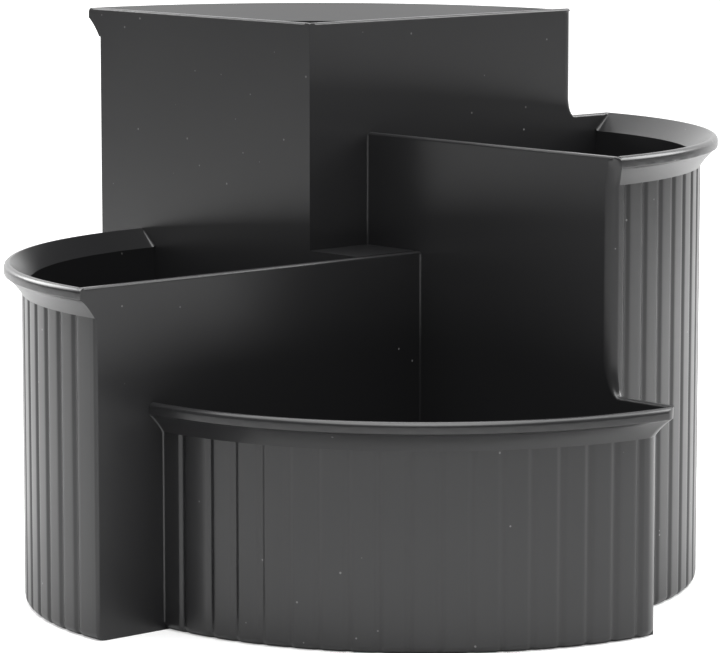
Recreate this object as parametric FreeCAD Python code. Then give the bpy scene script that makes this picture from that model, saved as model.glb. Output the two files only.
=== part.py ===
import FreeCAD, Part
import math
import os

# Desk organizer: four quarter-round cups of different heights, set like a pinwheel round a small
# square column. Millimetres, +Z up. The origin is the centre of the column, on the base plane.
# Seen from above, the back cup opens towards +X +Y, the right cup towards +X -Y, the front cup
# towards -X -Y and the left cup towards -X +Y. Every straight wall lies along X or Y.
# Every cup and every straight wall is made in the right cup's place, where the long straight
# wall runs out along +X on the plane Y = HALF, and is then turned about the origin.

# Driving dimensions
WALL = 1.5              # thickness of the straight and the round walls
FLOOR = 2.0             # thickness of the cup floors and of the column's cap
COLUMN_SIDE = 14.5      # distance between the open wall faces on opposite sides of the column
AXIS_SET_OUT = 0.6      # from a column corner to its cup's axis, along that cup's long wall
CUP_RADIUS = 61.7       # outside of the ribbed round walls
BACK_HEIGHT = 104.7
RIGHT_HEIGHT = 83.7
LEFT_HEIGHT = 62.6
FRONT_HEIGHT = 41.1
BASE_ROUND = 1.4        # rounding of the outer edge that meets the table

RIM_HEIGHT = 5.5        # from the crease under the flare up to the rim's top
RIM_REACH = 3.2         # how far the rim stands out from the round wall
BEAD_HEIGHT = 2.1       # upright band at the edge of the rim
BEAD_ROUND = 0.8        # rounding of the rim's top outer edge
BEAD_EDGE = 0.25        # small bevel under the band
FLARE_SAG = 0.18        # how far the flare is hollowed between its two ends
INNER_FLARE = 3.4       # height of the sloping face inside the rim
RIM_TOP = 1.0           # from the rim's outer face to the inner edge of its top

GROOVE_WIDTH = 0.8
GROOVE_DEPTH = 0.45
GROOVE_PITCH = 5.0      # degrees
GROOVE_COUNT = 16
BACK_FIRST_GROOVE = 5.0     # degrees from each cup's long wall
RIGHT_FIRST_GROOVE = 4.6
LEFT_FIRST_GROOVE = 5.8
FRONT_FIRST_GROOVE = 4.2
FRONT_LAST_GAP = 6.9        # degrees on to the front cup's last groove, which stands off the others

BACK_STEP_OUT = 6.8     # how far a tall wall runs on past its round wall before it steps down
RIGHT_STEP_OUT = 2.6
BACK_FOOT_OUT = 0.8     # hollow at the foot of the step: how far it reaches out and up
BACK_FOOT_UP = 3.3
RIGHT_FOOT_OUT = 1.6
RIGHT_FOOT_UP = 6.0
STEP_CORNER = 0.8       # rounding of the top corner at a step
STEP_EDGE = 1.3         # rounding of the upright edge of a step
END_CORNER = 0.6        # rounding of the upright corner where a long wall turns into its round wall
FRONT_END_CORNER = 5.5  # the same at the front cup, where the inner corner is rounded with it
FRONT_RIM_CORNER = 3.0  # the same at the front cup's rim

# Worked out from them
HALF = COLUMN_SIDE / 2
AXIS_OUT = HALF + AXIS_SET_OUT
LONG_END = AXIS_OUT + CUP_RADIUS        # end of a long wall, from the centre of the column
SHORT_END = CUP_RADIUS - HALF           # where a round wall meets the next straight wall
INSIDE = CUP_RADIUS - WALL
BACK_STEP = (BACK_STEP_OUT, BACK_FOOT_OUT, BACK_FOOT_UP)
RIGHT_STEP = (RIGHT_STEP_OUT, RIGHT_FOOT_OUT, RIGHT_FOOT_UP)
CLEAR = 1.0                             # how far a cutter runs past what it cuts
SHARP = 0                               # rounding of a corner that is left square

UP = FreeCAD.Vector(0, 0, 1)
ORIGIN = FreeCAD.Vector(0, 0, 0)

# cup: height, turn from the right cup's place, first groove, whether its long wall's thickness lies
# outside the quarter, rounding of the wall's end corner, the same at the rim
CUPS = {
    "back": (BACK_HEIGHT, 90, BACK_FIRST_GROOVE, False, END_CORNER, SHARP),
    "right": (RIGHT_HEIGHT, 0, RIGHT_FIRST_GROOVE, True, END_CORNER, END_CORNER),
    "front": (FRONT_HEIGHT, -90, FRONT_FIRST_GROOVE, True, FRONT_END_CORNER, FRONT_RIM_CORNER),
    "left": (LEFT_HEIGHT, 180, LEFT_FIRST_GROOVE, False, END_CORNER, SHARP),
}


def face_of(path):
    """Face in the XZ plane. A step of the path is a point, or (point on the arc, end point)."""
    first = here = path[0]
    edges = []
    for step in path[1:] + [first]:
        if isinstance(step[0], tuple):
            edges.append(Part.Arc(upright(here), upright(step[0]), upright(step[1])).toShape())
            here = step[1]
        else:
            edges.append(Part.makeLine(upright(here), upright(step)))
            here = step
    return Part.Face(Part.Wire(edges))


def upright(point):
    return FreeCAD.Vector(point[0], 0, point[1])


def rounding(centre, radius, degrees):
    """Point on a small rounding."""
    angle = math.radians(degrees)
    return (centre[0] + radius * math.cos(angle), centre[1] + radius * math.sin(angle))


def foot_path(wall_at):
    """Path from the base plane up to the outer face of a wall."""
    centre = (wall_at - BASE_ROUND, BASE_ROUND)
    return [(wall_at - BASE_ROUND, 0), (rounding(centre, BASE_ROUND, -45), (wall_at, BASE_ROUND))]


def flare_path(wall_at, top):
    """Path up the outside of a flared rim, from the crease to the rim's top."""
    crease = (wall_at, top - RIM_HEIGHT)
    under = (wall_at + RIM_REACH - BEAD_EDGE, top - BEAD_HEIGHT)
    run = under[0] - crease[0]
    rise = under[1] - crease[1]
    sag = FLARE_SAG / math.hypot(run, rise)
    middle = (crease[0] + run / 2 - sag * rise, crease[1] + rise / 2 + sag * run)
    edge = wall_at + RIM_REACH
    centre = (edge - BEAD_ROUND, top - BEAD_ROUND)
    return [
        crease,
        (middle, under),
        (edge, top - BEAD_HEIGHT + BEAD_EDGE),
        (edge, top - BEAD_ROUND),
        (rounding(centre, BEAD_ROUND, 45), (edge - BEAD_ROUND, top)),
    ]


def step_path(out, foot_out, foot_up, high, low):
    """Path from the lower top edge of a straight wall up its step to the higher top edge."""
    at = SHORT_END + out
    short_of = 1 - math.sqrt(0.5)
    bend = (at + foot_out * short_of, low + foot_up * short_of)
    corner = (at - STEP_CORNER, high - STEP_CORNER)
    return [
        (at + foot_out, low),
        (bend, (at, low + foot_up)),
        (at, corner[1]),
        (rounding(corner, STEP_CORNER, 45), (corner[0], high)),
    ]


def swept(path):
    """Turns a section, given from the cup's axis, through the quarter and on to the next wall's plane."""
    section = face_of(path)
    axis = FreeCAD.Vector(AXIS_OUT, HALF, 0)
    section.translate(axis)
    quarter = section.revolve(axis, FreeCAD.Vector(0, 0, -1), 90)
    end = section.copy()
    end.rotate(axis, UP, -90)
    return quarter.fuse(end.extrude(FreeCAD.Vector(-AXIS_SET_OUT, 0, 0))).removeSplitter()


def grooves(top, first, last_gap):
    """Upright V cutters on the outside of a round wall."""
    angles = [first + GROOVE_PITCH * n for n in range(GROOVE_COUNT)]
    angles.append(angles[-1] + last_gap)
    mouth = (GROOVE_DEPTH + CLEAR) * GROOVE_WIDTH / 2 / GROOVE_DEPTH
    corners = [(CUP_RADIUS - GROOVE_DEPTH, 0), (CUP_RADIUS + CLEAR, mouth), (CUP_RADIUS + CLEAR, -mouth)]
    outline = Part.makePolygon([FreeCAD.Vector(x, y, -CLEAR) for x, y in corners + corners[:1]])
    cutter = Part.Face(outline).extrude(FreeCAD.Vector(0, 0, top - RIM_HEIGHT + CLEAR))
    cutters = []
    for angle in angles:
        one = cutter.copy()
        one.rotate(ORIGIN, UP, -angle)
        one.translate(FreeCAD.Vector(AXIS_OUT, HALF, 0))
        cutters.append(one)
    return Part.makeCompound(cutters)


def corner_cutter(corner_x, corner_y, radius, low, high, side):
    """Takes an upright square corner down to a rounding. The solid lies at lower X, and on the
    side of lower Y for side 1 or of higher Y for side -1."""
    centre = FreeCAD.Vector(corner_x - radius, corner_y - side * radius, low)
    size = radius + CLEAR
    block = Part.makeBox(size, size, high - low, centre)
    if side < 0:
        block.translate(FreeCAD.Vector(0, -size, 0))
    return block.cut(Part.makeCylinder(radius, high - low, centre, UP))


def end_cutters(cup):
    """Cutters for the corner where a cup's long wall turns into its round wall."""
    top, _, _, outward, wall_corner, rim_corner = CUPS[cup]
    crease = top - RIM_HEIGHT
    outer = HALF + (WALL if outward else 0)
    cutters = [corner_cutter(LONG_END, outer, wall_corner, -CLEAR, crease, 1)]
    if rim_corner:
        cutters.append(corner_cutter(LONG_END + RIM_REACH, outer, rim_corner, crease, top + CLEAR, 1))
    return Part.makeCompound(cutters)


def inner_corner(cup):
    """Fills a cup's inner corner behind the rounded outer one, so that the wall keeps its thickness."""
    top, _, _, _, wall_corner, _ = CUPS[cup]
    radius = wall_corner - WALL
    height = top - INNER_FLARE
    centre = FreeCAD.Vector(LONG_END - wall_corner, HALF - radius, 0)
    block = Part.makeBox(radius + WALL / 2, radius, height, centre)
    return block.cut(Part.makeCylinder(radius, height, centre, UP))


def slab(outward):
    """Room that a long wall takes up."""
    low_y = HALF if outward else HALF - WALL
    return Part.makeBox(3 * CUP_RADIUS, WALL, 2 * BACK_HEIGHT, FreeCAD.Vector(-CUP_RADIUS, low_y, -CLEAR))


def next_slab(cup):
    """Room of the straight wall that a cup's round wall runs into."""
    order = ["back", "right", "front", "left"]
    following = order[(order.index(cup) + 1) % len(order)]
    room = slab(CUPS[following][3])
    room.rotate(ORIGIN, UP, -90)
    return room


def placed(shape, cup):
    shape.rotate(ORIGIN, UP, CUPS[cup][1])
    return shape


def round_wall(cup):
    """Ribbed wall of a cup with its flared rim."""
    top = CUPS[cup][0]
    inner_edge = (CUP_RADIUS + RIM_REACH - RIM_TOP, top)
    path = [(INSIDE, 0)] + foot_path(CUP_RADIUS) + flare_path(CUP_RADIUS, top)
    path += [inner_edge, (INSIDE, top - INNER_FLARE)]
    last_gap = FRONT_LAST_GAP if cup == "front" else GROOVE_PITCH
    ring = swept(path)
    if cup == "front":
        ring = ring.fuse(inner_corner(cup)).removeSplitter()
    ring = ring.cut(grooves(top, CUPS[cup][2], last_gap))
    ring = ring.cut(slab(CUPS[cup][3])).cut(next_slab(cup)).cut(end_cutters(cup))
    return placed(ring, cup)


def cup_floor(cup):
    """Flat floor of a cup, inside its walls."""
    quarter = swept([(0, 0), (INSIDE, 0), (INSIDE, FLOOR), (0, FLOOR)])
    corner = Part.makeBox(AXIS_SET_OUT, INSIDE, FLOOR, FreeCAD.Vector(HALF, HALF - INSIDE, 0))
    plate = quarter.fuse(corner).removeSplitter()
    if cup == "front":
        plate = plate.cut(inner_corner(cup))
    return placed(plate.cut(slab(CUPS[cup][3])).cut(next_slab(cup)), cup)


def divider(cup, begin, step=None, high=0):
    """Straight wall from the column outwards, ending in the outline of its cup's rim."""
    top, _, _, outward, _, _ = CUPS[cup]
    path = [(begin, 0)] + foot_path(LONG_END) + flare_path(LONG_END, top)
    if high:
        path += step_path(*step, high, top)
    path.append((begin, max(high, top)))
    face = face_of(path)
    face.translate(FreeCAD.Vector(0, HALF if outward else HALF - WALL, 0))
    wall = face.extrude(FreeCAD.Vector(0, WALL, 0)).cut(end_cutters(cup))
    if high:
        step_out, _, foot_up = step
        wall = wall.cut(corner_cutter(SHORT_END + step_out, HALF, STEP_EDGE, top + foot_up, high + CLEAR, -1))
    return placed(wall, cup)


def centre_column():
    """Cap over the hollow column, and the column's own side towards the left cup."""
    inner = COLUMN_SIDE - WALL
    low = FreeCAD.Vector(WALL - HALF, WALL - HALF, LEFT_HEIGHT - FLOOR)
    cap = Part.makeBox(inner, inner, FLOOR, low)
    side = Part.makeBox(WALL, inner, LEFT_HEIGHT, FreeCAD.Vector(-HALF, WALL - HALF, 0))
    return cap.fuse(side).removeSplitter()


PIECES = {
    "back_cup_wall": round_wall("back"),
    "right_cup_wall": round_wall("right"),
    "left_cup_wall": round_wall("left"),
    "front_cup_wall": round_wall("front"),
    "back_cup_floor": cup_floor("back"),
    "right_cup_floor": cup_floor("right"),
    "left_cup_floor": cup_floor("left"),
    "front_cup_floor": cup_floor("front"),
    "back_left_divider": divider("back", HALF + WALL),
    "back_right_divider": divider("right", -HALF, BACK_STEP, BACK_HEIGHT),
    "right_front_divider": divider("front", -HALF, RIGHT_STEP, RIGHT_HEIGHT),
    "left_front_divider": divider("left", -HALF),
    "centre_column": centre_column(),
}

os.makedirs("parts", exist_ok=True)
for name, shape in PIECES.items():
    solid = shape.Solids[0] if len(shape.Solids) == 1 else shape
    solid.exportStep("parts/" + name + ".step")
    box = solid.BoundBox
    print(name, len(shape.Solids), round(solid.Volume), box.XMin, box.XMax, box.YMin, box.YMax, box.ZMax)
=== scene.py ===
import bmesh
import bpy
import math
from mathutils import Matrix, Vector


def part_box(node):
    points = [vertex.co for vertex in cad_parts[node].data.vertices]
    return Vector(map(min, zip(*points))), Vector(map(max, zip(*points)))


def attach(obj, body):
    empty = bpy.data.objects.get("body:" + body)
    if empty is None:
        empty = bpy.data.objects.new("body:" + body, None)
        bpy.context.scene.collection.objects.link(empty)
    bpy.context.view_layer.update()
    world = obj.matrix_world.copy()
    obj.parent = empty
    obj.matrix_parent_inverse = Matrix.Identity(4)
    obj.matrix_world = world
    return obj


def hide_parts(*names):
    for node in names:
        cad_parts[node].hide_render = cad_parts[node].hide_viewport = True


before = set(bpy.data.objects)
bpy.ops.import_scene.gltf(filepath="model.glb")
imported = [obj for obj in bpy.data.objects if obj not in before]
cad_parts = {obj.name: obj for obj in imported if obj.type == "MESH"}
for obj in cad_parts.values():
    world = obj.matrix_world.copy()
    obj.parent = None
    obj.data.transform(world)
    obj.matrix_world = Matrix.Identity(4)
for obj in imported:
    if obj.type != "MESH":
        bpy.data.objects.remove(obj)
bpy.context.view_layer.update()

bl_info = {
    "name": "Desk Organizer",
    "version": (1, 0, 0),
    "blender": (4, 5, 0),
    "location": "View3D > Sidebar > Organizer",
    "description": "Builds a moulded desk organizer of four ribbed quarter-round cups",
    "category": "Object",
}

MM = 0.001
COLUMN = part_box("centre_column")
SHORT_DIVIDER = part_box("back_left_divider")
HALF = COLUMN[1][0]                                  # column centre to an open wall face
WALL = SHORT_DIVIDER[1][0] - SHORT_DIVIDER[0][0]     # thickness of every wall
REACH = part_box("left_front_divider")[0][0] * -1      # column centre to the tip of a long wall
SHARP_ANGLE = math.radians(28)                       # edges steeper than this stay crisp
OVERLAP = 0.5 * MM                                   # how far a piece runs into the one it meets
HAIR = 0.01 * MM                                     # keeps two faces from lying in one plane
FLAT_WEIGHT = 80                                     # how strongly large faces set the normals
ROUND_STEPS = 8                                      # faces round a small rounding
CORNER_STEPS = 14                                    # faces round the front cup's corner
FLAT_COLUMNS = 6                                     # faces across the plain part of a rib
EDGE_LEVELS = 20                                     # faces across the thickness of a straight wall
EARLY, LATE = 0.01, 0.03                             # radians a sweep runs on before it is clipped

# cup: turn in degrees from the right cup's place, whether its long wall lies outside its quarter,
# and the next cup
CUPS = {
    "back": (90, False, "right"),
    "right": (0, True, "front"),
    "front": (-90, True, "left"),
    "left": (180, False, "back"),
}


class OrganizerShape(bpy.types.PropertyGroup):
    """Sizes of the walls and rims"""

    axis_set_out: bpy.props.FloatProperty(
        name="Axis Set Out", description="From a column corner to its cup's axis",
        default=0.6 * MM, unit="LENGTH", precision=5)
    rim_height: bpy.props.FloatProperty(
        name="Rim Height", description="From the crease under the flare to the top",
        default=5.5 * MM, unit="LENGTH", precision=5)
    rim_reach: bpy.props.FloatProperty(
        name="Rim Reach", description="How far the rim stands out from the round wall",
        default=3.2 * MM, unit="LENGTH", precision=5)
    rim_top: bpy.props.FloatProperty(
        name="Rim Top", description="From the rim's outer face to the inner edge of its top",
        default=1.0 * MM, unit="LENGTH", precision=5)
    bead_height: bpy.props.FloatProperty(
        name="Bead Height", description="Upright band at the edge of the rim",
        default=2.1 * MM, unit="LENGTH", precision=5)
    bead_round: bpy.props.FloatProperty(
        name="Bead Rounding", description="Rounding of the rim's top outer edge",
        default=0.95 * MM, unit="LENGTH", precision=5)
    bead_edge: bpy.props.FloatProperty(
        name="Bead Edge", description="Rounding of the band's lower edge",
        default=0.25 * MM, unit="LENGTH", precision=5)
    flare_sag: bpy.props.FloatProperty(
        name="Flare Sag", description="How far the flare is hollowed between its ends",
        default=0.18 * MM, unit="LENGTH", precision=5)
    inner_flare: bpy.props.FloatProperty(
        name="Inner Flare", description="Height of the sloping face inside the rim",
        default=3.4 * MM, unit="LENGTH", precision=5)
    inner_round: bpy.props.FloatProperty(
        name="Inner Rounding", description="Rounding of the inner edge of the rim's top",
        default=0.2 * MM, unit="LENGTH", precision=5)
    base_round: bpy.props.FloatProperty(
        name="Base Rounding", description="Rounding of the outer edge that meets the table",
        default=1.4 * MM, unit="LENGTH", precision=5)
    top_round: bpy.props.FloatProperty(
        name="Top Rounding", description="Rounding of the straight walls' top edges",
        default=0.5 * MM, unit="LENGTH", precision=5)
    step_round: bpy.props.FloatProperty(
        name="Step Rounding", description="How far a step's upright edge is rounded back",
        default=2.4 * MM, unit="LENGTH", precision=5)
    end_round: bpy.props.FloatProperty(
        name="End Rounding", description="Rounding of the upright corner at a long wall's end",
        default=0.6 * MM, unit="LENGTH", precision=5)
    step_corner: bpy.props.FloatProperty(
        name="Step Corner", description="Rounding of a step's top corner",
        default=0.8 * MM, unit="LENGTH", precision=5)
    back_foot: bpy.props.FloatVectorProperty(
        name="Back Foot", description="Hollow at the foot of the back cup's step, out and up",
        default=(0.8 * MM, 3.3 * MM), size=2, unit="LENGTH", precision=5)
    right_foot: bpy.props.FloatVectorProperty(
        name="Right Foot", description="Hollow at the foot of the right cup's step, out and up",
        default=(1.6 * MM, 6.0 * MM), size=2, unit="LENGTH", precision=5)
    back_step_out: bpy.props.FloatProperty(
        name="Back Step Out", description="How far the tallest wall runs on past its round wall",
        default=6.8 * MM, unit="LENGTH", precision=5)
    right_step_out: bpy.props.FloatProperty(
        name="Right Step Out", description="How far the second wall runs on past its round wall",
        default=2.6 * MM, unit="LENGTH", precision=5)
    front_corner: bpy.props.FloatProperty(
        name="Front Corner", description="Rounding of the front cup's upright corner",
        default=5.5 * MM, unit="LENGTH", precision=5)
    front_rim_corner: bpy.props.FloatProperty(
        name="Front Rim Corner", description="The same at the front cup's rim",
        default=3.0 * MM, unit="LENGTH", precision=5)
    cove: bpy.props.FloatProperty(
        name="Cove", description="Hollow rounding where a rim's inner slope meets a straight wall",
        default=0.7 * MM, unit="LENGTH", precision=5)
    crease: bpy.props.FloatProperty(
        name="Crease", description="Hollow rounding of the upright creases between walls",
        default=0.35 * MM, unit="LENGTH", precision=5)


class OrganizerGrooves(bpy.types.PropertyGroup):
    """The upright grooves in the round walls"""

    width: bpy.props.FloatProperty(
        name="Width", description="Width of a groove at the surface",
        default=2.2 * MM, unit="LENGTH", precision=5)
    depth: bpy.props.FloatProperty(
        name="Depth", description="Depth of a groove",
        default=0.36 * MM, unit="LENGTH", precision=5)
    pitch: bpy.props.FloatProperty(
        name="Pitch", description="Angle from groove to groove",
        default=math.radians(5), subtype="ANGLE")
    count: bpy.props.IntProperty(
        name="Count", description="Evenly spaced grooves on a cup", default=16, min=2)
    front_last_gap: bpy.props.FloatProperty(
        name="Front Last Gap", description="Angle on to the front cup's last groove",
        default=math.radians(6.1), subtype="ANGLE")
    back: bpy.props.FloatProperty(
        name="Back First", description="Angle of the back cup's first groove",
        default=math.radians(5.0), subtype="ANGLE")
    right: bpy.props.FloatProperty(
        name="Right First", description="Angle of the right cup's first groove",
        default=math.radians(4.6), subtype="ANGLE")
    front: bpy.props.FloatProperty(
        name="Front First", description="Angle of the front cup's first groove",
        default=math.radians(4.9), subtype="ANGLE")
    left: bpy.props.FloatProperty(
        name="Left First", description="Angle of the left cup's first groove",
        default=math.radians(5.8), subtype="ANGLE")


class OrganizerFinish(bpy.types.PropertyGroup):
    """Look of the moulded plastic"""

    colour: bpy.props.FloatVectorProperty(
        name="Colour", description="Colour of the plastic", default=(0.014, 0.014, 0.0148),
        subtype="COLOR", min=0, max=1)
    gloss_rough: bpy.props.FloatProperty(
        name="Roughness", description="Roughness of the moulded skin", default=0.3, min=0, max=1)
    rough_spread: bpy.props.FloatProperty(
        name="Roughness Spread", description="How far the roughness drifts either way",
        default=0.04, min=0, max=1)
    cloud_size: bpy.props.FloatProperty(
        name="Cloud Size", description="Size of the drifts in roughness",
        default=MM / 0.03, unit="LENGTH", precision=5)
    grain_size: bpy.props.FloatProperty(
        name="Grain Size", description="Size of the skin's fine grain",
        default=0.25 * MM, unit="LENGTH", precision=5)
    grain_depth: bpy.props.FloatProperty(
        name="Grain Depth", description="Depth of the skin's fine grain",
        default=0.01 * MM, unit="LENGTH", precision=6)
    grain_strength: bpy.props.FloatProperty(
        name="Grain Strength", description="How much the grain bends the light",
        default=0.12, min=0, max=1)
    speck_spacing: bpy.props.FloatProperty(
        name="Speck Spacing", description="Distance between places for a speck of dust",
        default=4.0 * MM, unit="LENGTH", precision=5)
    speck_size: bpy.props.FloatVectorProperty(
        name="Speck Size", description="Outer edge and core of a speck, as shares of the spacing",
        default=(0.06, 0.04), size=2, min=0, max=1)
    speck_cover: bpy.props.FloatProperty(
        name="Specks", description="Share of the places for a speck of dust that hold one",
        default=0.6, min=0, max=1)
    speck_colour: bpy.props.FloatVectorProperty(
        name="Speck Colour", description="Colour of the dust", default=(0.16, 0.16, 0.16),
        subtype="COLOR", min=0, max=1)


class OrganizerStage(bpy.types.PropertyGroup):
    """Camera and lights"""

    azimuth: bpy.props.FloatProperty(
        name="Azimuth", description="Camera's turn from the front", default=math.radians(-42.11),
        subtype="ANGLE")
    elevation: bpy.props.FloatProperty(
        name="Elevation", description="Camera's height angle", default=math.radians(8.37),
        subtype="ANGLE")
    distance: bpy.props.FloatProperty(
        name="Distance", description="Camera to the point it looks at",
        default=0.7523, unit="LENGTH")
    look_height: bpy.props.FloatProperty(
        name="Look Height", description="Height of that point over the table",
        default=43.0 * MM, unit="LENGTH")
    lens: bpy.props.FloatProperty(
        name="Lens", description="Focal length in millimetres", default=202.1)
    shift: bpy.props.FloatVectorProperty(
        name="Shift", description="Camera's shift, across and up",
        default=(-0.0071, 0.0403), size=2)
    world_light: bpy.props.FloatProperty(
        name="Room Light", description="Strength of the surroundings that the plastic mirrors",
        default=0.17)
    back_light: bpy.props.FloatProperty(
        name="Back Light", description="Strength of the white backdrop behind the object",
        default=1.5)
    back_edge: bpy.props.FloatVectorProperty(
        name="Back Edge", description="Where the backdrop starts and is full, 1 straight ahead",
        default=(0.5, 0.92), size=2)
    key_power: bpy.props.FloatProperty(
        name="Key Light", description="Power of the soft light from above", default=29.0)
    key_size: bpy.props.FloatProperty(
        name="Key Size", description="Width of the soft light from above",
        default=1.7, unit="LENGTH")
    key_height: bpy.props.FloatProperty(
        name="Key Height", description="Height of the soft light over the table",
        default=1.15, unit="LENGTH")
    side_power: bpy.props.FloatProperty(
        name="Side Lights", description="Power of the soft lights at the sides", default=4.3)
    front_power: bpy.props.FloatProperty(
        name="Front Light", description="Power of the light on the table in front", default=1.2)
    lamp_size: bpy.props.FloatProperty(
        name="Lamp Size", description="Width of the side and front lights, and their height",
        default=0.4, unit="LENGTH")
    side_out: bpy.props.FloatProperty(
        name="Side Out", description="How far to the side the lit spots on the table lie",
        default=0.3, unit="LENGTH")
    left_back: bpy.props.FloatProperty(
        name="Left Back", description="How far behind the object the left spot lies",
        default=0.24, unit="LENGTH")
    right_back: bpy.props.FloatProperty(
        name="Right Back", description="How far behind the object the right spot lies",
        default=0.12, unit="LENGTH")
    front_out: bpy.props.FloatProperty(
        name="Front Out", description="How far in front of the object the front spot lies",
        default=0.34, unit="LENGTH")
    floor_half: bpy.props.FloatProperty(
        name="Floor Half", description="Half the width of the floor", default=0.6, unit="LENGTH")
    floor_grey: bpy.props.FloatProperty(
        name="Floor Grey", description="Brightness of the floor's paint",
        default=0.68, min=0, max=1)
    floor_glow: bpy.props.FloatProperty(
        name="Floor Glow", description="Light that whitens the floor where it is seen directly",
        default=0.4, min=0)


def shape():
    return bpy.context.scene.organizer_shape


def cup_height(cup):
    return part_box(cup + "_cup_wall")[1][2]


def long_end():
    """Distance from the column's centre to the end of a long wall, under its rim."""
    return REACH - shape().rim_reach


def axis_out():
    return HALF + shape().axis_set_out


def cup_radius():
    return long_end() - axis_out()


def in_place(bm, cup):
    """Turns a mesh that was made in the right cup's place to where the cup stands."""
    bm.transform(Matrix.Rotation(math.radians(CUPS[cup][0]), 4, "Z"))


def arc(centre, radius, start, end, steps):
    """Points of an arc in the section plane, angles in degrees, both ends included."""
    points = []
    for n in range(steps + 1):
        angle = math.radians(start + (end - start) * n / steps)
        points.append((centre[0] + radius * math.cos(angle), centre[1] + radius * math.sin(angle)))
    return points


def flare_points(at, top):
    """Outside of a rim from the crease up to the flat top."""
    s = shape()
    crease = (at, top - s.rim_height)
    under = (at + s.rim_reach - s.bead_edge, top - s.bead_height)
    run, rise = under[0] - crease[0], under[1] - crease[1]
    slope = math.hypot(run, rise)
    points = []
    for n in range(ROUND_STEPS + 1):
        t = n / ROUND_STEPS
        sag = s.flare_sag * 4 * t * (1 - t)
        back, lift = sag * rise / slope, sag * run / slope
        points.append((crease[0] + run * t - back, crease[1] + rise * t + lift))
    edge = at + s.rim_reach
    points += arc((edge - s.bead_edge, top - s.bead_height + s.bead_edge), s.bead_edge, -60, 0, 3)
    points += arc((edge - s.bead_round, top - s.bead_round), s.bead_round, 0, 90, ROUND_STEPS)
    return points


def foot_points(at):
    """Rounded outer edge at the base."""
    s = shape()
    return arc((at - s.base_round, s.base_round), s.base_round, -90, 0, 6)


def cup_section(cup):
    """Closed section of a round wall as (radius, height, whether grooves cut it)."""
    s = shape()
    top = cup_height(cup)
    radius = cup_radius()
    inside = radius - WALL
    rows = [(inside, 0, False)]
    rows += [(r, z, True) for r, z in foot_points(radius)]
    rows.append((radius, top - s.rim_height, True))
    rows += [(r, z, False) for r, z in flare_points(radius, top)]
    inner_edge = radius + s.rim_reach - s.rim_top
    inner_arc = arc((inner_edge, top - s.inner_round), s.inner_round, 90, 138, 4)
    rows += [(r, z, False) for r, z in inner_arc]
    rows.append((inside, top - s.inner_flare, False))
    return rows


def groove_columns():
    """Half a groove as (angle from its middle, depth there)."""
    g = bpy.context.scene.organizer_grooves
    columns = []
    for n in range(5):
        across = n / 4
        angle = across * g.width / 2 / cup_radius()
        columns.append((angle, g.depth * (1 + math.cos(math.pi * across)) / 2))
    return columns


def rib_columns(start, end):
    """Columns from the middle of one groove to the middle of the next."""
    half = groove_columns()
    columns = [(start + angle, depth) for angle, depth in half]
    first, last = start + half[-1][0], end - half[-1][0]
    columns += [(first + (last - first) * n / FLAT_COLUMNS, 0) for n in range(1, FLAT_COLUMNS)]
    columns += [(end - angle, depth) for angle, depth in reversed(half)]
    return columns


def sweep_section(bm, rows, columns, start_plane=None, end_plane=None):
    """Skins a section round the cup's axis. The planes say where the first and last columns end:
    the first at this distance below the axis line, the last at this distance beside it."""
    grid = []
    for angle, depth in columns:
        line = []
        for radius, height, grooved in rows:
            r = radius - depth if grooved else radius
            turn = angle
            if start_plane is not None:
                turn = max(turn, math.asin(start_plane / r))
            if end_plane is not None:
                turn = min(turn, math.pi / 2 - math.asin(end_plane / r))
            line.append(bm.verts.new((r * math.cos(turn), -r * math.sin(turn), height)))
        grid.append(line)
    for one, other in zip(grid, grid[1:]):
        for n in range(len(rows)):
            m = (n + 1) % len(rows)
            bm.faces.new((one[n], other[n], other[m], one[m]))
    return grid


def skin(bm, loops):
    """Closes a row of matching loops into a solid."""
    for one, other in zip(loops, loops[1:]):
        for n in range(len(one)):
            m = (n + 1) % len(one)
            bm.faces.new((one[n], one[m], other[m], other[n]))
    bm.faces.new(loops[0][::-1])
    bm.faces.new(loops[-1])


def upright_prism(bm, plan, low, high):
    """Solid that stands on a plan outline."""
    skin(bm, [[bm.verts.new((x, y, z)) for x, y in plan] for z in (low, high)])


def tidy_mesh(bm, name):
    """Closes seams, drops empty faces, turns faces outward, marks the crisp edges and makes the
    object."""
    bmesh.ops.remove_doubles(bm, verts=bm.verts, dist=HAIR / 4)
    bmesh.ops.dissolve_degenerate(bm, edges=bm.edges, dist=HAIR / 10)
    bmesh.ops.recalc_face_normals(bm, faces=bm.faces)
    for face in bm.faces:
        face.smooth = True
    for edge in bm.edges:
        edge.smooth = len(edge.link_faces) == 2 and edge.calc_face_angle(0) < SHARP_ANGLE
    mesh = bpy.data.meshes.new(name)
    bm.to_mesh(mesh)
    bm.free()
    obj = bpy.data.objects.new(name, mesh)
    bpy.context.scene.collection.objects.link(obj)
    return obj


def bake_modifiers(obj):
    """Turns an object with modifiers into its plain result."""
    evaluated = obj.evaluated_get(bpy.context.evaluated_depsgraph_get())
    mesh = bpy.data.meshes.new_from_object(evaluated)
    old = obj.data
    obj.modifiers.clear()
    obj.data = mesh
    mesh.name = obj.name
    bpy.data.meshes.remove(old)


def weigh_normals(obj):
    """Keeps large flat faces flat beside their small roundings."""
    modifier = obj.modifiers.new("Flat faces stay flat", "WEIGHTED_NORMAL")
    modifier.keep_sharp = True
    modifier.weight = FLAT_WEIGHT
    bake_modifiers(obj)


def settle(obj, node):
    """The piece stands for its CAD node, in the organizer's plastic."""
    obj.data.materials.clear()
    obj.data.materials.append(plastic())
    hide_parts(node)
    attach(obj, "root")


# Materials

def link(tree, source, target):
    tree.links.new(source, target)


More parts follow.
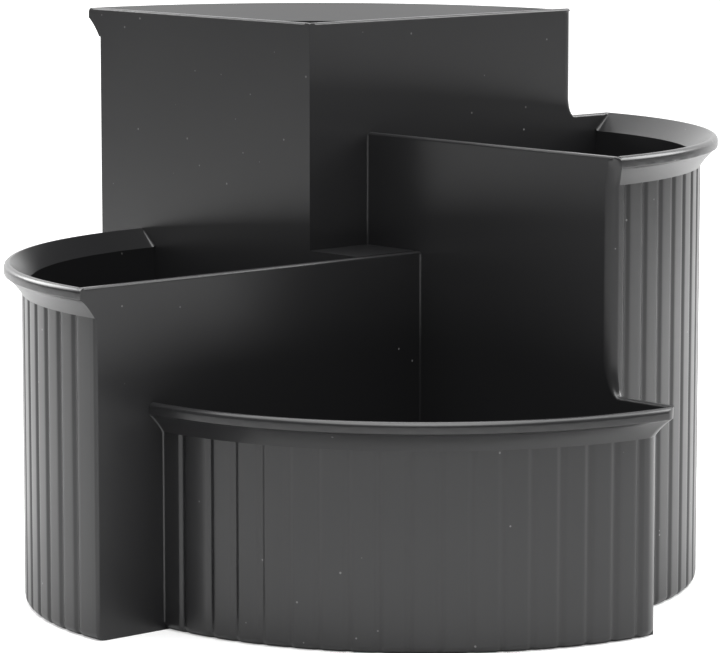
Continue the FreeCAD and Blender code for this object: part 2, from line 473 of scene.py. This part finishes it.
def plastic():
    """Satin moulded polystyrene with a fine skin and a few specks of dust."""
    made = bpy.data.materials.get("satin polystyrene")
    if made:
        return made
    f = bpy.context.scene.organizer_finish
    material = bpy.data.materials.new("satin polystyrene")
    material.use_nodes = True
    tree = material.node_tree
    shader = tree.nodes["Principled BSDF"]
    shader.inputs["IOR"].default_value = 1.57
    place = tree.nodes.new("ShaderNodeTexCoord")
    cloud = tree.nodes.new("ShaderNodeTexNoise")
    cloud.inputs["Scale"].default_value = 1 / f.cloud_size
    cloud.inputs["Detail"].default_value = 4
    link(tree, place.outputs["Object"], cloud.inputs["Vector"])
    grain = tree.nodes.new("ShaderNodeTexNoise")
    grain.inputs["Scale"].default_value = 1 / f.grain_size
    grain.inputs["Detail"].default_value = 3
    link(tree, place.outputs["Object"], grain.inputs["Vector"])

    rough = tree.nodes.new("ShaderNodeMapRange")
    rough.inputs["To Min"].default_value = f.gloss_rough - f.rough_spread
    rough.inputs["To Max"].default_value = f.gloss_rough + f.rough_spread
    link(tree, cloud.outputs["Fac"], rough.inputs["Value"])
    link(tree, rough.outputs["Result"], shader.inputs["Roughness"])

    bump = tree.nodes.new("ShaderNodeBump")
    bump.inputs["Strength"].default_value = f.grain_strength
    bump.inputs["Distance"].default_value = f.grain_depth
    link(tree, grain.outputs["Fac"], bump.inputs["Height"])
    link(tree, bump.outputs["Normal"], shader.inputs["Normal"])

    cells = tree.nodes.new("ShaderNodeTexVoronoi")
    cells.inputs["Scale"].default_value = 1 / f.speck_spacing
    link(tree, place.outputs["Object"], cells.inputs["Vector"])
    near = tree.nodes.new("ShaderNodeMapRange")
    near.inputs["From Min"].default_value = f.speck_size[0]
    near.inputs["From Max"].default_value = f.speck_size[1]
    link(tree, cells.outputs["Distance"], near.inputs["Value"])
    pick = tree.nodes.new("ShaderNodeSeparateColor")
    link(tree, cells.outputs["Color"], pick.inputs["Color"])
    rare = tree.nodes.new("ShaderNodeMath")
    rare.operation = "LESS_THAN"
    rare.inputs[1].default_value = f.speck_cover
    link(tree, pick.outputs["Red"], rare.inputs[0])
    speck = tree.nodes.new("ShaderNodeMath")
    speck.operation = "MULTIPLY"
    link(tree, near.outputs["Result"], speck.inputs[0])
    link(tree, rare.outputs["Value"], speck.inputs[1])
    mix = tree.nodes.new("ShaderNodeMix")
    mix.data_type = "RGBA"
    mix.inputs["A"].default_value = (*f.colour, 1)
    mix.inputs["B"].default_value = (*f.speck_colour, 1)
    link(tree, speck.outputs["Value"], mix.inputs["Factor"])
    link(tree, mix.outputs["Result"], shader.inputs["Base Color"])
    return material


def floor_paint():
    """Plain pale floor."""
    st = bpy.context.scene.organizer_stage
    material = bpy.data.materials.new("pale floor")
    material.use_nodes = True
    shader = material.node_tree.nodes["Principled BSDF"]
    shader.inputs["Base Color"].default_value = (st.floor_grey, st.floor_grey, st.floor_grey, 1)
    shader.inputs["Emission Color"].default_value = (1, 1, 1, 1)
    sight = material.node_tree.nodes.new("ShaderNodeLightPath")
    glow = material.node_tree.nodes.new("ShaderNodeMath")
    glow.operation = "MULTIPLY"
    glow.inputs[1].default_value = st.floor_glow
    link(material.node_tree, sight.outputs["Is Camera Ray"], glow.inputs[0])
    link(material.node_tree, glow.outputs["Value"], shader.inputs["Emission Strength"])
    shader.inputs["Roughness"].default_value = 0.9
    shader.inputs["Specular IOR Level"].default_value = 0.1
    return material


# Round walls

def rib_tree():
    """Geometry nodes that set one rib of a round wall again and again about the cup's axis."""
    tree = bpy.data.node_groups.new("Ribs about an axis", "GeometryNodeTree")
    face = tree.interface
    face.new_socket("Geometry", in_out="INPUT", socket_type="NodeSocketGeometry")
    face.new_socket("Count", in_out="INPUT", socket_type="NodeSocketInt")
    face.new_socket("Pitch", in_out="INPUT", socket_type="NodeSocketFloat")
    face.new_socket("First", in_out="INPUT", socket_type="NodeSocketFloat")
    face.new_socket("Material", in_out="INPUT", socket_type="NodeSocketMaterial")
    face.new_socket("Geometry", in_out="OUTPUT", socket_type="NodeSocketGeometry")
    entry = tree.nodes.new("NodeGroupInput")
    leave = tree.nodes.new("NodeGroupOutput")
    points = tree.nodes.new("GeometryNodeMeshLine")
    points.inputs["Offset"].default_value = (0, 0, 0)
    link(tree, entry.outputs["Count"], points.inputs["Count"])
    index = tree.nodes.new("GeometryNodeInputIndex")
    along = tree.nodes.new("ShaderNodeMath")
    along.operation = "MULTIPLY_ADD"
    link(tree, index.outputs["Index"], along.inputs[0])
    link(tree, entry.outputs["Pitch"], along.inputs[1])
    link(tree, entry.outputs["First"], along.inputs[2])
    clockwise = tree.nodes.new("ShaderNodeMath")
    clockwise.operation = "MULTIPLY"
    clockwise.inputs[1].default_value = -1
    link(tree, along.outputs["Value"], clockwise.inputs[0])
    turn = tree.nodes.new("ShaderNodeCombineXYZ")
    link(tree, clockwise.outputs["Value"], turn.inputs["Z"])
    ribs = tree.nodes.new("GeometryNodeInstanceOnPoints")
    link(tree, points.outputs["Mesh"], ribs.inputs["Points"])
    link(tree, entry.outputs["Geometry"], ribs.inputs["Instance"])
    link(tree, turn.outputs["Vector"], ribs.inputs["Rotation"])
    real = tree.nodes.new("GeometryNodeRealizeInstances")
    link(tree, ribs.outputs["Instances"], real.inputs["Geometry"])
    paint = tree.nodes.new("GeometryNodeSetMaterial")
    link(tree, real.outputs["Geometry"], paint.inputs["Geometry"])
    link(tree, entry.outputs["Material"], paint.inputs["Material"])
    link(tree, paint.outputs["Geometry"], leave.inputs["Geometry"])
    return tree


def set_inputs(modifier, values):
    """Sets a nodes modifier's inputs by their names."""
    for item in modifier.node_group.interface.items_tree:
        if item.in_out == "INPUT" and item.name in values:
            modifier[item.identifier] = values[item.name]


def next_open(cup):
    """How far beside a cup's axis its round wall ends, against the next straight wall."""
    following = CUPS[cup][2]
    return WALL - shape().axis_set_out if CUPS[following][1] else -shape().axis_set_out


def round_wall(cup, tree):
    """Ribbed wall and rim of a cup: the even ribs, and a plain stretch at each end."""
    g = bpy.context.scene.organizer_grooves
    rows = cup_section(cup)
    first = getattr(g, cup)
    rib = bmesh.new()
    sweep_section(rib, rows, rib_columns(0, g.pitch))
    mesh = bpy.data.meshes.new("rib")
    rib.to_mesh(mesh)
    rib.free()
    ribs = bpy.data.objects.new("rib", mesh)
    bpy.context.scene.collection.objects.link(ribs)
    modifier = ribs.modifiers.new("Ribs", "NODES")
    modifier.node_group = tree
    values = {"Count": g.count - 1, "Pitch": g.pitch, "First": first, "Material": plastic()}
    set_inputs(modifier, values)
    bake_modifiers(ribs)

    bm = bmesh.new()
    bm.from_mesh(ribs.data)
    bpy.data.objects.remove(ribs)
    start_plane = 0 if CUPS[cup][1] else WALL
    half = groove_columns()
    begin = math.asin(start_plane / cup_radius())
    lead = first - half[-1][0] - begin
    columns = [(begin - EARLY, 0)]
    columns += [(begin + lead * n / FLAT_COLUMNS, 0) for n in range(1, FLAT_COLUMNS)]
    columns += [(first - angle, depth) for angle, depth in reversed(half)]
    grid = sweep_section(bm, rows, columns, start_plane=start_plane)
    bm.faces.new(grid[0][::-1])
    last_even = first + g.pitch * (g.count - 1)
    last = last_even + (g.front_last_gap if cup == "front" else g.pitch)
    sweep_section(bm, rows, rib_columns(last_even, last))
    columns = [(last + angle, depth) for angle, depth in half]
    rest = math.pi / 2 + LATE - last - half[-1][0]
    flat = last + half[-1][0]
    columns += [(flat + rest * n / FLAT_COLUMNS, 0) for n in range(1, FLAT_COLUMNS + 1)]
    grid = sweep_section(bm, rows, columns, end_plane=next_open(cup))
    bm.faces.new(grid[-1])
    bm.transform(Matrix.Translation((axis_out(), HALF, 0)))
    in_place(bm, cup)
    return tidy_mesh(bm, cup + "_round_wall")


# Straight walls

def edge_inset(radius, from_face):
    """How far a rounded edge is drawn in at this distance from the wall's face."""
    if from_face >= radius:
        return 0
    return radius - math.sqrt(radius * radius - (radius - from_face) ** 2)


def divider_outline(cup, begin, step_out, foot_size, high):
    """Outline of a straight wall as (x, z, end, top, step). The last three say how much the point
    follows the rounding of the wall's end, of its top edge and of its step's upright edge."""
    s = shape()
    top = cup_height(cup)
    at = long_end()
    end = 0 if cup == "front" else 1
    points = [(begin, 0, 0, 0, 0)]
    points += [(x, z, end, 0, 0) for x, z in foot_points(at)]
    points.append((at, top - s.rim_height, end, 0, 0))
    flare = flare_points(at, top)
    points += [(x, z, 0, 0, 0) for x, z in flare[:-1]]
    points.append((*flare[-1], 0, 1, 0))
    if high:
        out = cup_radius() - HALF + step_out
        foot = arc((1, 1), 1, 270, 180, ROUND_STEPS)
        for n, (x, z) in enumerate(foot):
            share = n / ROUND_STEPS
            points.append((out + x * foot_size[0], top + z * foot_size[1], 0, 1 - share, share))
        lip = max(0, s.rim_reach - step_out)
        if lip:
            points.append((out, high - s.rim_height, 0, 0, 1))
            points.append((out + lip, high - s.bead_height, 0, 0, 1))
        centre = (out + lip - s.step_corner, high - s.step_corner)
        for n, (x, z) in enumerate(arc(centre, s.step_corner, 0, 90, ROUND_STEPS)):
            share = n / ROUND_STEPS
            points.append((x, z, 0, share, 1 - share))
    points.append((begin, max(high, top), 0, 1, 0))
    return points


def divider(cup, begin, step_out=0, foot_size=None, high=0):
    """Straight wall with softly rounded edges, ending in the outline of its cup's rim."""
    s = shape()
    low_y = HALF if CUPS[cup][1] else HALF - WALL
    outline = divider_outline(cup, begin, step_out, foot_size, high)
    bm = bmesh.new()
    loops = []
    for n in range(EDGE_LEVELS + 1):
        across = WALL * (1 - math.cos(math.pi * n / EDGE_LEVELS)) / 2
        end_in = edge_inset(s.end_round, WALL - across)
        top_in = edge_inset(s.top_round, min(across, WALL - across))
        step_in = edge_inset(WALL, across) * s.step_round / WALL
        loop = []
        for x, z, end, top, step in outline:
            place = (x - end * end_in - step * step_in, low_y + across, z - top * top_in)
            loop.append(bm.verts.new(place))
        loops.append(loop)
    skin(bm, loops)
    in_place(bm, cup)
    return tidy_mesh(bm, cup + "_long_wall")


# Front cup's corner

def corner_cutter(cup):
    """Solid that rounds a cup's upright corner, wider under the rim than at it."""
    s = shape()
    top = cup_height(cup)
    at = long_end()
    outer = HALF + WALL
    past = 5 * MM
    far = 12 * MM
    rows = [(-past, -s.base_round)] + [(z, x - at) for x, z in foot_points(at)]
    rows += [(z, x - at) for x, z in flare_points(at, top)[:ROUND_STEPS + 1]]
    rows.append((top + past, s.rim_reach))
    bm = bmesh.new()
    loops = []
    for height, reach in rows:
        share = max(0, reach) / s.rim_reach
        radius = s.front_corner + (s.front_rim_corner - s.front_corner) * share
        centre = (at + reach - radius, outer - radius)
        plan = arc(centre, radius, 90, 0, CORNER_STEPS)
        plan += [(at + far, outer - radius), (at + far, outer + far)]
        plan += [(at - far, outer + far), (at - far, outer + HAIR)]
        loops.append([bm.verts.new((x, y, height)) for x, y in plan])
    skin(bm, loops)
    in_place(bm, cup)
    return tidy_mesh(bm, "corner_cutter")


def cut_away(obj, cutter):
    """The object without what lies inside the cutter."""
    modifier = obj.modifiers.new("Cut", "BOOLEAN")
    modifier.operation = "DIFFERENCE"
    modifier.solver = "EXACT"
    modifier.object = cutter
    bake_modifiers(obj)
    bm = bmesh.new()
    bm.from_mesh(obj.data)
    name = obj.name
    bpy.data.objects.remove(obj)
    return tidy_mesh(bm, name)


def corner_fill(cup):
    """Curved stretch of wall behind a rounded upright corner, which keeps the wall's thickness."""
    s = shape()
    inner = s.front_corner - WALL
    centre = (long_end() - s.front_corner, HALF - inner)
    plan = arc(centre, inner, 90, 0, CORNER_STEPS)
    plan += arc(centre, s.front_corner - HAIR, 41, 49, 2)
    bm = bmesh.new()
    upright_prism(bm, plan, 0, cup_height(cup) - s.inner_flare)
    in_place(bm, cup)
    return tidy_mesh(bm, "corner_fill")


def joined(obj, other):
    """One object with both meshes."""
    bm = bmesh.new()
    bm.from_mesh(obj.data)
    bm.from_mesh(other.data)
    name = obj.name
    bpy.data.objects.remove(obj)
    bpy.data.objects.remove(other)
    return tidy_mesh(bm, name)


def hollow(size):
    """Hollow side of a cove, as (distance from the surface, distance from the straight wall)."""
    angles = [math.radians(angle) for angle in range(0, 91, 15)]
    return [((1 - math.cos(a)) * size, (1 - math.sin(a)) * size) for a in angles]


def cove(cup, at_start):
    """Hollow rounding along the line where a rim's inner slope meets a straight wall."""
    s = shape()
    top = cup_height(cup)
    radius = cup_radius()
    high = Vector((radius + s.rim_reach - s.rim_top, top - s.inner_round))
    low = Vector((radius - WALL, top - s.inner_flare))
    along = (low - high).normalized()
    high += along * s.cove
    up_wall = Vector((along.y, -along.x))
    start = 0 if CUPS[cup][1] else WALL
    bm = bmesh.new()
    ends = []
    for spot in (high, low):
        ring = []
        for up, aside in [(0, 0)] + hollow(s.cove):
            place = spot + up_wall * up
            if at_start:
                point = (place.x, -start - aside, place.y)
            else:
                point = (next_open(cup) + aside, -place.x, place.y)
            ring.append(bm.verts.new(point))
        ends.append(ring)
    skin(bm, ends)
    bm.transform(Matrix.Translation((axis_out(), HALF, 0)))
    in_place(bm, cup)
    return tidy_mesh(bm, cup + ("_start_cove" if at_start else "_end_cove"))


def wall_cove(cup):
    """Hollow rounding up the outside, where a round wall and its flare meet the next wall."""
    s = shape()
    top = cup_height(cup)
    radius = cup_radius()
    flare = flare_points(radius, top)[:ROUND_STEPS + 1]
    run, rise = flare[-1][0] - flare[0][0], flare[-1][1] - flare[0][1]
    under = Vector((rise, -run)).normalized()
    outward = Vector((1, 0))
    path = [((radius, s.base_round), outward), (flare[0], (outward + under).normalized())]
    path += [(spot, under) for spot in flare[1:]]
    plane = axis_out() + next_open(cup) - HAIR
    sunk = 2 * HAIR
    bm = bmesh.new()
    rings = []
    for (r, z), out in path:
        ring = [bm.verts.new((plane, HALF + OVERLAP - r, z))]
        for up, aside in hollow(s.crease):
            up -= sunk
            ring.append(bm.verts.new((plane + aside, HALF - r - out.x * up, z + out.y * up)))
        rings.append(ring)
    skin(bm, rings)
    in_place(bm, cup)
    return tidy_mesh(bm, cup + "_wall_cove")


def crease_cove(name, y, low, high):
    """Upright hollow rounding where a straight wall's face meets the second wall's."""
    r = shape().crease
    bm = bmesh.new()
    plan = [(HALF, y)] + arc((HALF - r, y - r), r, 90, 0, 6)
    upright_prism(bm, plan, low, high)
    return tidy_mesh(bm, name)


class ORGANIZER_OT_coves(bpy.types.Operator):
    """Make the small hollow roundings where the walls, rims and column meet"""
    bl_idname = "organizer.coves"
    bl_label = "Coves"

    def execute(self, context):
        s = shape()
        cap, floor = COLUMN[1][2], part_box("front_cup_floor")[1][2]
        coves = [cove(cup, at_start) for cup in CUPS for at_start in (True, False)]
        coves += [wall_cove(cup) for cup in CUPS]
        right_top = cup_height("right") - s.top_round
        coves.append(crease_cove("cap_crease_cove", HALF, cap, right_top))
        coves.append(crease_cove("front_crease_cove", -HALF, floor, cap - s.top_round))
        for piece in coves:
            piece.data.materials.append(plastic())
            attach(piece, "root")
        return {"FINISHED"}


class ORGANIZER_OT_cups(bpy.types.Operator):
    """Make the four ribbed round walls with their rims"""
    bl_idname = "organizer.cups"
    bl_label = "Round Walls"

    def execute(self, context):
        tree = rib_tree()
        for cup in CUPS:
            wall = round_wall(cup, tree)
            if cup == "front":
                cutter = corner_cutter(cup)
                wall = cut_away(wall, cutter)
                bpy.data.objects.remove(cutter)
                wall = joined(wall, corner_fill(cup))
            weigh_normals(wall)
            settle(wall, cup + "_cup_wall")
        return {"FINISHED"}


class ORGANIZER_OT_dividers(bpy.types.Operator):
    """Make the four straight walls"""
    bl_idname = "organizer.dividers"
    bl_label = "Straight Walls"

    def execute(self, context):
        s = shape()
        walls = {
            "back_left_divider": divider("back", HALF + HAIR),
            "back_right_divider": divider(
                "right", HAIR - HALF, s.back_step_out, s.back_foot, cup_height("back")),
            "right_front_divider": divider(
                "front", -HALF - OVERLAP, s.right_step_out, s.right_foot, cup_height("right")),
            "left_front_divider": divider("left", -HALF - OVERLAP),
        }
        cutter = corner_cutter("front")
        walls["right_front_divider"] = cut_away(walls["right_front_divider"], cutter)
        bpy.data.objects.remove(cutter)
        for node, wall in walls.items():
            weigh_normals(wall)
            settle(wall, node)
        return {"FINISHED"}


class ORGANIZER_OT_floors(bpy.types.Operator):
    """Give the floors and the column their plastic"""
    bl_idname = "organizer.floors"
    bl_label = "Floors and Column"

    def execute(self, context):
        for node in ["centre_column"] + [cup + "_cup_floor" for cup in CUPS]:
            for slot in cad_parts[node].material_slots:
                slot.material = plastic()
        return {"FINISHED"}


def area_light(name, place, aim, size, power):
    """Square soft light that points at a spot."""
    data = bpy.data.lights.new(name, "AREA")
    data.size = size
    data.energy = power
    lamp = bpy.data.objects.new(name, data)
    lamp.location = place
    lamp.rotation_euler = (Vector(aim) - Vector(place)).to_track_quat("-Z", "Y").to_euler()
    bpy.context.scene.collection.objects.link(lamp)


class ORGANIZER_OT_stage(bpy.types.Operator):
    """Set up the floor, the lights and the camera"""
    bl_idname = "organizer.stage"
    bl_label = "Stage"

    def execute(self, context):
        st = context.scene.organizer_stage
        aim = Vector((0, 0, st.look_height))
        flat = Vector((math.sin(st.azimuth), -math.cos(st.azimuth), 0))
        side = Vector((math.cos(st.azimuth), math.sin(st.azimuth), 0))
        bm = bmesh.new()
        bmesh.ops.create_grid(bm, x_segments=1, y_segments=1, size=st.floor_half)
        bmesh.ops.translate(bm, verts=bm.verts, vec=(0, 0, -HAIR))
        floor = tidy_mesh(bm, "floor")
        floor.data.materials.append(floor_paint())

        world = bpy.data.worlds.new("white room")
        world.use_nodes = True
        sky = world.node_tree.nodes["Background"]
        sky.inputs["Color"].default_value = (1, 1, 1, 1)
        tree = world.node_tree
        way = tree.nodes.new("ShaderNodeTexCoord")
        ahead = tree.nodes.new("ShaderNodeVectorMath")
        ahead.operation = "DOT_PRODUCT"
        ahead.inputs[1].default_value = -flat
        link(tree, way.outputs["Generated"], ahead.inputs[0])
        backdrop = tree.nodes.new("ShaderNodeMapRange")
        backdrop.interpolation_type = "SMOOTHSTEP"
        backdrop.inputs["From Min"].default_value = st.back_edge[0]
        backdrop.inputs["From Max"].default_value = st.back_edge[1]
        backdrop.inputs["To Min"].default_value = st.world_light
        backdrop.inputs["To Max"].default_value = st.back_light
        link(tree, ahead.outputs["Value"], backdrop.inputs["Value"])
        sight = tree.nodes.new("ShaderNodeLightPath")
        level = tree.nodes.new("ShaderNodeMapRange")
        level.inputs["To Max"].default_value = st.back_light
        link(tree, sight.outputs["Is Camera Ray"], level.inputs["Value"])
        link(tree, backdrop.outputs["Result"], level.inputs["To Min"])
        link(tree, level.outputs["Result"], sky.inputs["Strength"])
        context.scene.world = world
        context.scene.view_settings.view_transform = "Standard"

        area_light("top light", Vector((0, 0, st.key_height)), aim, st.key_size, st.key_power)
        lamp_up = Vector((0, 0, st.lamp_size))
        left = -side * st.side_out - flat * st.left_back
        right = side * st.side_out - flat * st.right_back
        front = flat * st.front_out
        for name, spot in (("left light", left), ("right light", right)):
            area_light(name, spot * 2 + lamp_up, spot * 0.9, st.lamp_size, st.side_power)
        area_light("front light", front + lamp_up, front, st.lamp_size, st.front_power)

        data = bpy.data.cameras.new("camera")
        data.sensor_width = 36
        data.lens = st.lens
        data.shift_x, data.shift_y = st.shift
        camera = bpy.data.objects.new("camera", data)
        rise = Vector((0, 0, math.sin(st.elevation)))
        camera.location = aim + (flat * math.cos(st.elevation) + rise) * st.distance
        camera.rotation_euler = (aim - camera.location).to_track_quat("-Z", "Y").to_euler()
        context.scene.collection.objects.link(camera)
        context.scene.camera = camera
        return {"FINISHED"}


class ORGANIZER_PT_panel(bpy.types.Panel):
    """Steps that build the organizer"""
    bl_label = "Desk Organizer"
    bl_idname = "ORGANIZER_PT_panel"
    bl_space_type = "VIEW_3D"
    bl_region_type = "UI"
    bl_category = "Organizer"

    def draw(self, context):
        for operator in OPERATORS:
            self.layout.operator(operator.bl_idname)


GROUPS = {
    "organizer_shape": OrganizerShape,
    "organizer_grooves": OrganizerGrooves,
    "organizer_finish": OrganizerFinish,
    "organizer_stage": OrganizerStage,
}
OPERATORS = [
    ORGANIZER_OT_cups, ORGANIZER_OT_dividers, ORGANIZER_OT_coves, ORGANIZER_OT_floors,
    ORGANIZER_OT_stage,
]


def register():
    for name, group in GROUPS.items():
        bpy.utils.register_class(group)
        setattr(bpy.types.Scene, name, bpy.props.PointerProperty(type=group))
    for operator in OPERATORS:
        bpy.utils.register_class(operator)
    bpy.utils.register_class(ORGANIZER_PT_panel)


def unregister():
    bpy.utils.unregister_class(ORGANIZER_PT_panel)
    for operator in reversed(OPERATORS):
        bpy.utils.unregister_class(operator)
    for name, group in GROUPS.items():
        delattr(bpy.types.Scene, name)
        bpy.utils.unregister_class(group)


def main():
    register()
    bpy.ops.organizer.cups()
    bpy.ops.organizer.dividers()
    bpy.ops.organizer.coves()
    bpy.ops.organizer.floors()
    bpy.ops.organizer.stage()


if __name__ == "__main__":
    main()
